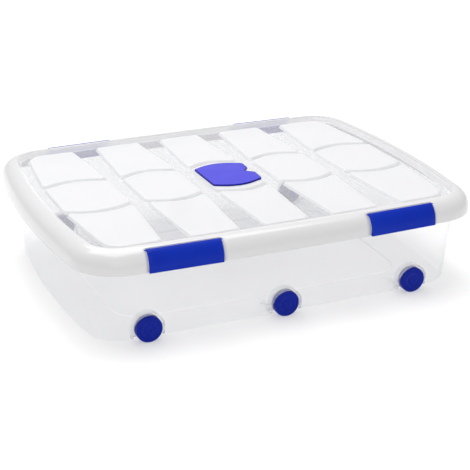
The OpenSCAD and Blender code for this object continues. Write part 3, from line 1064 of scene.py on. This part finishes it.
@dataclass
class PadGrid:
    """Fifteen raised pads in five flared columns and three rows."""

    plan: BoxPlan
    panel_inset: float = 52.0
    inner_near: tuple[float, ...] = (0.0, 0.219, 0.621)
    outer_near: tuple[float, ...] = (0.157, 0.557, 1.0)
    inner_far: tuple[float, ...] = (0.0, 0.254, 0.659)
    outer_far: tuple[float, ...] = (0.128, 0.525, 1.0)
    row_share: float = 0.254
    row_gap: float = 8.0
    row_bulge: float = 14.0
    corner: float = 9.0
    outer_corner: float = 36.0
    bevel: float = 4.0

    @property
    def reach_x(self) -> float:
        """Half the length that the pads cover."""
        return self.plan.length / 2 - self.panel_inset

    @property
    def reach_y(self) -> float:
        """Half the width that the pads cover."""
        return self.plan.width / 2 - self.panel_inset + 6.0

    @property
    def split(self) -> float:
        """Half the width of the middle row at its corners."""
        return self.reach_y * self.row_share

    def edge(self, column: int, outer: bool, y: float) -> float:
        """Where a column's edge lies on the right half at a depth."""
        if column == 2 and outer:
            return self.reach_x - y**2 / (2 * self.plan.outline.arc_x)
        near = (self.outer_near if outer else self.inner_near)[column]
        far = (self.outer_far if outer else self.inner_far)[column]
        share = max(0.0, (abs(y) - self.split) / (self.reach_y - self.split))
        return self.reach_x * (near + (far - near) * share)

    def right(self, column: int, y: float) -> float:
        """A pad's right edge."""
        return self.edge(column, True, y) if column >= 0 else -self.edge(-column, False, y)

    def left(self, column: int, y: float) -> float:
        """A pad's left edge."""
        return self.edge(column, False, y) if column > 0 else -self.edge(-column, True, y)

    def outline(self, column: int, row: int, inset: float) -> list[Point]:
        """Outline of one pad.

        Args:
            column: -2 to 2 from left to right.
            row: -1 at the front, 1 at the rear.
            inset: how far inside its foot the outline lies.

        Returns:
            The closed outline.
        """
        reach = self.reach_y - (column * self.reach_x * 0.4) ** 2 / (2 * self.plan.outline.arc_y)
        gap = self.split + self.row_gap
        low = {0: -self.split, 1: gap, -1: -reach}[row]
        high = {0: self.split, 1: reach, -1: -gap}[row]
        y0, y1 = low + inset, high - inset
        corners = [
            Vector((self.left(column, low) + inset, y0)),
            Vector((self.right(column, low) - inset, y0)),
            Vector((self.right(column, high) - inset, y1)),
            Vector((self.left(column, high) + inset, y1)),
        ]
        wide = {(-2, -1): 0, (2, -1): 1, (2, 1): 2, (-2, 1): 3}.get((column, row))
        radii = [(self.outer_corner if k == wide else self.corner) - inset * 0.6 for k in range(4)]
        rounds = rounded(corners, radii)
        slight = self.plan.long_bow * 0.1
        lower = {0: -self.row_bulge, 1: self.row_bulge, -1: -slight}[row]
        upper = {0: self.row_bulge, 1: slight, -1: -self.row_bulge}[row]
        points = rounds[0] + bulged(rounds[0][-1], rounds[1][0], lower, 10)
        points += rounds[1] + rounds[2] + bulged(rounds[2][-1], rounds[3][0], upper, 10) + rounds[3]
        return [(p.x, p.y) for p in points]

    def places(self) -> list[tuple[int, int]]:
        """Column and row of each pad."""
        return [(column, row) for column in range(-2, 3) for row in range(-1, 2)]


@dataclass
class Lid:
    """The lid: a rolled pearly band, a clear border and grooves, and frosted pads, in one moulding."""

    plan: BoxPlan
    grid: PadGrid
    crest_end: float = 32.0
    trough: float = 39.0
    stiffener_inset: float = 26.0
    stiffener_gap: float = 0.4
    seat_inset: float = 18.0
    lug: float = 2.5
    cut_margin: float = 30.0

    def build(
        self, band: FrostedPlastic, border: ClearPlastic, pads: FrostedPlastic, slope: ClearPlastic
    ) -> None:
        """Builds the lid and dresses it."""
        plan = self.plan
        surface = Surface()
        outline = plan.outline
        loops = [level(outline.points(0.0), plan.skirt_z)]
        loops.append(level(outline.points(0.0), plan.skirt_z + 3.0))
        for degrees in range(0, 96, 6):
            inset, height = plan.band(0.0, degrees)
            loops.append(level(outline.points(inset), height))
        loops.append(level(outline.points(self.crest_end - 2.0), plan.height))
        crest = len(loops) - 1
        drops = ((0.0, 0.5), (1.6, 1.6), (4.8, 7.6), (5.9, 8.7), (7.0, 9.3))
        for further, drop in drops:
            loops.append(level(outline.points(self.crest_end + further), plan.height - drop))
        ring = surface.skin(surface.ring(loops[0]), loops[1 : crest + 1], 0)
        ring = surface.skin(ring, loops[crest + 1 :], 3)
        # The sunk border, the grooves and the pads' feet take finish 1, a clear plastic whose grey colour is
        # painted shade.
        floor = [level(outline.points(self.trough + further), plan.panel_z) for further in (1.5, 4.0)]
        ring = surface.skin(ring, floor, 1)
        feet = [self.build_pad(surface, column, row) for column, row in self.grid.places()]
        surface.fill([ring, *feet], 1)
        surface.orient(surface.bm.faces[:], Vector((0.0, 0.0, 1.0)))
        for column, side in each_clip():
            surface.carve(plan.notch_planes(column, side), self.cut_margin)
        made = surface.piece(
            "lid_moulding",
            Body.LID.value,
            [band.material(), border.material(), pads.material(), slope.material()],
            wall=plan.wall,
        )
        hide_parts("lid")

    def build_pad(self, surface: Surface, column: int, row: int) -> Ring:
        """Adds one pad and returns the ring at which its foot meets the groove."""
        panel, top, bevel = self.plan.panel_z, self.plan.pad_z, self.grid.bevel
        steps = [
            (-1.6, panel),
            (-0.6, panel),
            (0.2, panel + 0.4),
            (1.0, panel + 1.4),
            (bevel - 1.6, top - 1.1),
            (bevel - 0.6, top - 0.3),
            (bevel + 0.8, top),
            (bevel + 2.4, top),
        ]
        loops = [level(self.grid.outline(column, row, inset), z) for inset, z in steps]
        foot = surface.ring(loops[0])
        ring = surface.skin(foot, loops[1:3], 1)
        ring = surface.skin(ring, loops[3:], 2)
        surface.fill([ring], 2)
        return foot

    def build_ribs(self, finish: ClearPlastic) -> None:
        """Builds the ribs under the band and the lugs that hold the clips' pins."""
        plan = self.plan
        surface = Surface()
        under = plan.height - plan.wall - 0.4
        for inset, foot in (
            (self.stiffener_inset, plan.rim_z + self.stiffener_gap),
            (self.seat_inset, plan.rim_z),
        ):
            thick = plan.wall / 2
            loops = [
                level(plan.outline.points(inset + side * thick), height)
                for side, height in ((-1, under - 1.6), (-1, foot), (1, foot), (1, under - 0.6))
            ]
            surface.skin(surface.ring(loops[0]), loops[1:] + loops[:1])
        for column, side in each_clip():
            surface.carve(plan.notch_planes(column, side), self.cut_margin)
            self.build_lugs(surface, column, side)
        surface.piece("lid_ribs", Body.LID.value, [finish.material()])

    def build_lugs(self, surface: Surface, column: int, side: int) -> None:
        """Adds the two lugs beside one clip."""
        plan = self.plan
        near = plan.clip_width / 2 + plan.clip_gap
        foot = plan.rim_z + 0.6 - plan.hinge[1]
        for end in (-1, 1):
            low = Vector((min(end * near, end * (near + self.lug)), -plan.barrel - plan.clip_gap, foot))
            high = Vector((max(end * near, end * (near + self.lug)), 1.8, -0.5))
            surface.block(low, high, plan.clip_place(column, side), 0.4)


# ---------- centre cap ----------


@dataclass
class CentreCap:
    """The blue cap in the middle of the lid, with a finger notch on its right edge."""

    plan: BoxPlan
    half_x_share: float = 0.063
    half_y_share: float = 0.082
    thickness: float = 3.2
    corner: float = 7.0
    bulge_share: float = 0.25
    notch_share: float = 0.34
    post: float = 3.0
    post_x_share: float = 0.0378
    post_y_share: float = 0.0492

    def outline(self, inset: float) -> list[Point]:
        """The cap seen from above."""
        full_x, full_y = self.plan.length * self.half_x_share, self.plan.width * self.half_y_share
        x, y = full_x - inset, full_y - inset
        bulge, notch = full_y * self.bulge_share, full_x * self.notch_share
        radius = self.corner - inset
        corners = [Vector(p) for p in ((-x, -y), (x, -y), (x, y), (-x, y))]
        radii = [radius, radius * 1.4, radius * 1.4, radius]
        rounds = rounded(corners, radii)
        dip = [
            Vector((x + full_x * 0.03, full_y * -0.22)),
            Vector((x - notch, full_y * 0.12)),
            Vector((x - notch * 0.1, full_y * 0.36)),
        ]
        points = rounds[0] + bulged(rounds[0][-1], rounds[1][0], -bulge, 12) + rounds[1]
        points += [dip[0]] + fillet(dip[0], dip[1], dip[2], 2.0, 4) + [dip[2]]
        points += rounds[2] + bulged(rounds[2][-1], rounds[3][0], bulge, 12) + rounds[3]
        return [(p.x, p.y) for p in points]

    def build(self, finish: BluePlastic, rim: BluePlastic) -> None:
        """Builds the cap and dresses it: the top in a lighter blue that paints the sky's reflection, the
        sides and underside in a darker blue that paints shade.
        """
        surface = Surface()
        foot = self.plan.pad_z
        top = foot + self.thickness
        steps = [(0.6, foot), (0.0, foot + 0.5), (0.0, top - 1.1), (0.3, top - 0.4), (1.0, top - 0.05)]
        loops = [level(self.outline(inset), z) for inset, z in steps]
        base = surface.ring(loops[0])
        # Underside and sides take the second material, a darker blue that is painted shade; the top takes
        # the first, a lighter blue that is a painted sky reflection.
        surface.fill([base], 1)
        brim = surface.skin(base, loops[1:] + [level(self.outline(2.0), top - 0.05)], 1)
        surface.fill([surface.skin(brim, [level(self.outline(2.6), top)])])
        away_x, away_y = self.plan.length * self.post_x_share, self.plan.width * self.post_y_share
        low = -(foot + 0.4)
        barb, tip = low + self.plan.wall + 0.4, low + self.plan.wall + 1.6
        for x, y in ((-1, -1), (-1, 1), (1, -1), (1, 1)):
            spot = Vector((x * away_x, y * away_y, 0.0))
            upright = Matrix.Translation(spot) @ Matrix.Rotation(math.pi / 2, 4, "Y")
            surface.rod(self.post, low, tip, upright)
            surface.rod(self.post + 1.2, barb, tip, upright)
        made = surface.piece("cap", Body.LID.value, [finish.material(), rim.material()])
        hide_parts("centre_cap")


# ---------- clips ----------


@dataclass
class Clip:
    """A blue clip: a curved plate on a hinge barrel, with a bead that snaps under the rim."""

    plan: BoxPlan
    column: int
    side: int
    pin: float = 1.6
    pin_length: float = 3.2
    bead_reach: float = 3.0
    edge: float = 0.5
    proud: float = 0.7
    sections: int = 12

    @property
    def name(self) -> str:
        """The clip's name in the frame."""
        return f"clip_{SIDES[self.side]}_{CLIP_COLUMNS[self.column]}"

    def profile(self) -> list[Point]:
        """The plate's section: how far outward and how high, from the hinge."""
        plan = self.plan
        hinge_inset, hinge_z = plan.hinge
        half = plan.clip_wall / 2
        foot = plan.skirt_z - hinge_z - 0.5

        def skin(shrink: float, degrees: float) -> Point:
            inset, height = plan.band(shrink, degrees)
            return hinge_inset - inset, height - hinge_z

        outside = [skin(-half - self.proud, degrees) for degrees in range(0, 63, 4)]
        inside = [skin(half, degrees) for degrees in range(54, -1, -6)]
        face_out, face_in = hinge_inset + half + self.proud, hinge_inset - half
        lower = [
            (face_in, foot + 5.4),
            (hinge_inset - self.bead_reach, foot + 3.6),
            (hinge_inset - self.bead_reach, foot + 2.6),
            (face_in, foot + 1.0),
            (face_in + 0.4, foot),
            (face_out + 0.6, foot),
            (face_out, foot + 2.4),
        ]
        return outside + [(0.0, 0.0)] + inside + lower

    def build(self, finish: BluePlastic) -> None:
        """Builds the clip and dresses it."""
        plan = self.plan
        half = plan.clip_width / 2
        surface = Surface()
        places = [-half + 2 * half * i / self.sections for i in range(self.sections + 1)]
        sections = [[Vector((x, y, z)) for y, z in self.profile()] for x in places]
        first = surface.ring(sections[0])
        last = surface.skin(first, sections[1:])
        ends = surface.edges_of(first) + surface.edges_of(last)
        surface.fill([first])
        surface.fill([last])
        surface.soften(ends, self.edge, clamp=True)
        surface.rod(plan.barrel, -half, half, Matrix.Identity(4))
        surface.rod(self.pin, -half - self.pin_length, half + self.pin_length, Matrix.Identity(4))
        surface.move(plan.clip_place(self.column, self.side))
        made = surface.piece(f"{self.name}_plate", self.name, [finish.material()])
        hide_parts(self.name)


# ---------- wheels and axles ----------


@dataclass
class Wheel:
    """A blue disc wheel on a headed axle pin."""

    plan: BoxPlan
    column: int
    side: int
    wall: float = 2.2
    hub: float = 6.5
    head: float = 2.5
    head_height: float = 2.4
    ribs: int = 6

    @property
    def place_name(self) -> str:
        """Which of the six wheels this is."""
        return f"{SIDES[self.side]}_{WHEEL_COLUMNS[self.column]}"

    def profile(self) -> list[Point]:
        """The wheel's section as radius and height, from the middle of its face to its bore."""
        r, w, t = self.plan.wheel_radius, self.plan.wheel_width, self.wall
        bore = self.plan.axle + self.plan.bore_gap
        face = [(0.0, -0.55), (1.6, -0.5), (2.2, -0.1), (2.8, 0.0), (r * 0.40, 0.0), (r * 0.42, -0.25)]
        face += [(r * 0.45, -0.25), (r * 0.47, 0.0), (r * 0.71, 0.0), (r * 0.73, -0.4), (r * 0.76, -0.4)]
        face += [(r * 0.78, 0.0), (r - 2.2, 0.0), (r - 1.0, -0.3), (r - 0.3, -0.9), (r, -1.9)]
        tread = [(r, -w * 0.5), (r, 0.9 - w), (r - 0.3, 0.3 - w), (r - 0.9, -w), (r - t, -w)]
        inside = [(r - t, -t - 0.6), (r - t - 0.6, -t), (self.hub + 0.6, -t), (self.hub, -t - 0.6)]
        back = [(self.hub, -w + 0.3), (self.hub - 0.3, -w), (bore, -w), (bore, -t), (0.0, -t)]
        return face + tread + inside + back

    def build_wheel(self, finish: BluePlastic) -> None:
        """Builds the wheel and dresses it."""
        plan = self.plan
        surface = Surface()
        surface.spin(self.profile())
        for k in range(self.ribs):
            low = Vector((self.hub - 0.5, -0.8, -plan.wheel_width + 4.0))
            high = Vector((plan.wheel_radius - self.wall + 0.5, 0.8, -self.wall + 0.5))
            surface.block(low, high, Matrix.Rotation(math.tau * k / self.ribs, 4, "Z"), 0.2)
        surface.move(plan.wheel_place(self.column, self.side))
        name = f"wheel_{self.place_name}"
        made = surface.piece(f"{name}_disc", name, [finish.material()])
        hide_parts(name)

    def build_axle(self, finish: BluePlastic) -> None:
        """Builds the axle pin and dresses it."""
        plan = self.plan
        r = plan.axle
        back = -plan.well_depth - plan.wall
        tip = -self.wall - 0.6
        groove = -self.wall - 3.5
        surface = Surface()
        head = r + self.head
        foot = back - self.head_height
        surface.spin(
            [(0.0, tip), (r - 0.5, tip), (r, tip - 0.5), (r, groove + 1.0), (r + 0.35, groove + 0.8)]
            + [(r + 0.35, groove + 0.2), (r, groove), (r, back), (head - 0.3, back), (head, back - 0.3)]
            + [(head, foot + 0.8), (head - 0.3, foot + 0.3), (head - 1.0, foot), (0.0, foot)],
            48,
        )
        surface.move(plan.wheel_place(self.column, self.side))
        made = surface.piece(f"axle_{self.place_name}_pin", Body.TUB.value, [finish.material()])
        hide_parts(f"axle_{self.place_name}")


# ---------- studio ----------


@dataclass
class Studio:
    """Floor, soft light and camera. Lamps are given by name, place, size and watts."""

    look_at: Vector = field(default_factory=lambda: Vector((0.0, 0.0, 0.0568)))
    azimuth: float = -23.46
    elevation: float = 22.07
    distance: float = 2.406
    lens: float = 95.64
    shift: Point = (0.0150, 0.0006)
    sensor: float = 36.0
    floor_half: float = 12.0
    surround: float = 0.60
    clear_layers: int = 48
    lamps: tuple[tuple[str, tuple[float, float, float], float, float], ...] = (
        ("softbox", (-0.2, 0.4, 3.1), 3.0, 74.0),
        ("key", (0.1, 2.0, 2.6), 1.2, 14.0),
        ("fill", (-0.8, -2.6, 1.2), 2.0, 6.0),
    )

    def build_floor(self) -> None:
        """Lays the floor."""
        surface = bmesh.new()
        bmesh.ops.create_grid(surface, x_segments=1, y_segments=1, size=self.floor_half)
        mesh = bpy.data.meshes.new("floor")
        surface.to_mesh(mesh)
        surface.free()
        mesh.materials.append(FloorPaint().material())
        floor = bpy.data.objects.new("floor", mesh)
        bpy.context.collection.objects.link(floor)

    def add_lamp(self, name: str, spot: Vector, size: float, watts: float) -> None:
        """Adds a square soft lamp that faces the box.

        Args:
            name: its name.
            spot: where it stands, in metres.
            size: length of its sides in metres.
            watts: its power.
        """
        lamp = bpy.data.lights.new(name, "AREA")
        lamp.shape = "SQUARE"
        lamp.size = size
        lamp.energy = watts
        made = bpy.data.objects.new(name, lamp)
        made.location = spot
        made.rotation_euler = (Vector((0.0, 0.0, 0.1)) - spot).to_track_quat("-Z", "Y").to_euler()
        bpy.context.collection.objects.link(made)

    def build_light(self) -> None:
        """Sets the soft surround and the lamps, and lets light pass many clear walls in a row."""
        world = bpy.data.worlds.new("surround")
        world.use_nodes = True
        background = world.node_tree.nodes["Background"]
        background.inputs["Color"].default_value = (1.0, 1.0, 1.0, 1.0)
        background.inputs["Strength"].default_value = self.surround
        scene = bpy.context.scene
        scene.world = world
        scene.view_settings.view_transform = "Standard"
        scene.cycles.transparent_max_bounces = self.clear_layers
        for name, spot, size, watts in self.lamps:
            self.add_lamp(name, Vector(spot), size, watts)

    def build_camera(self) -> None:
        """Sets the camera."""
        a, e = math.radians(self.azimuth), math.radians(self.elevation)
        back = Vector((math.sin(a) * math.cos(e), -math.cos(a) * math.cos(e), math.sin(e)))
        lens = bpy.data.cameras.new("camera")
        lens.lens = self.lens
        lens.sensor_width = self.sensor
        lens.shift_x, lens.shift_y = self.shift
        camera = bpy.data.objects.new("camera", lens)
        camera.location = self.look_at + back * self.distance
        camera.rotation_euler = (-back).to_track_quat("-Z", "Y").to_euler()
        bpy.context.collection.objects.link(camera)
        bpy.context.scene.camera = camera

    def build(self) -> None:
        """Builds the whole studio."""
        self.build_floor()
        self.build_light()
        self.build_camera()


def main() -> None:
    """Builds the box and the studio."""
    logging.basicConfig(level=logging.INFO, format="%(message)s")
    plan = BoxPlan()
    Tub(plan).build(ClearPlastic("tub_clear"))
    lid = Lid(plan, PadGrid(plan))
    band = FrostedPlastic(
        "band_pearl",
        colour=(0.78, 0.77, 0.78, 1.0),
        shade=(0.73, 0.72, 0.73, 1.0),
        cover=0.92,
        rim_cover=1.0,
        roughness=0.16,
        coat=0.5,
        glow=0.03,
    )
    # Grey copy of the clear plastic for the lid's sunk border and grooves: its milk is the plastic's own,
    # its grey colour is painted shade in these recesses.
    border = ClearPlastic(
        "lid_clear_grey_painted_shade",
        face_colour=(0.56, 0.565, 0.59, 1.0),
        edge_colour=(0.63, 0.635, 0.655, 1.0),
        haze=0.34,
        rim_haze=0.45,
        ripple=0.2,
    )
    slope = ClearPlastic(
        "slope_clear",
        face_colour=(0.90, 0.90, 0.91, 1.0),
        edge_colour=(0.88, 0.88, 0.90, 1.0),
        haze=0.42,
        rim_haze=0.54,
        ripple=0.2,
    )
    lid.build(band, border, FrostedPlastic("pad_frosted"), slope)
    lid.build_ribs(ClearPlastic("rib_clear", haze=0.02, rim_haze=0.14))
    clip_blue = BluePlastic("clip_blue")
    # The cap's blues are painted light: its top colours are lighter to paint the sky's reflection, its
    # darker edge colour paints shade along the rounded edges, and its side material is a darker blue that
    # paints shade.
    CentreCap(plan).build(
        BluePlastic("cap_top_blue_painted_sky_reflection", (0.06, 0.055, 0.56, 1.0), (0.09, 0.085, 0.66, 1.0), (0.01, 0.01, 0.45, 1.0)),
        BluePlastic("cap_side_blue_painted_shade", (0.004, 0.002, 0.20, 1.0), (0.008, 0.006, 0.30, 1.0)),
    )
    for column, side in each_clip():
        Clip(plan, column, side).build(clip_blue)
    for column, side in each_wheel():
        wheel = Wheel(plan, column, side)
        wheel.build_wheel(BluePlastic("wheel_blue", (0.001, 0.009, 0.25, 1.0), (0.0015, 0.015, 0.32, 1.0)))
        wheel.build_axle(BluePlastic("axle_blue"))
    Studio().build()


if __name__ == "__main__":
    main()
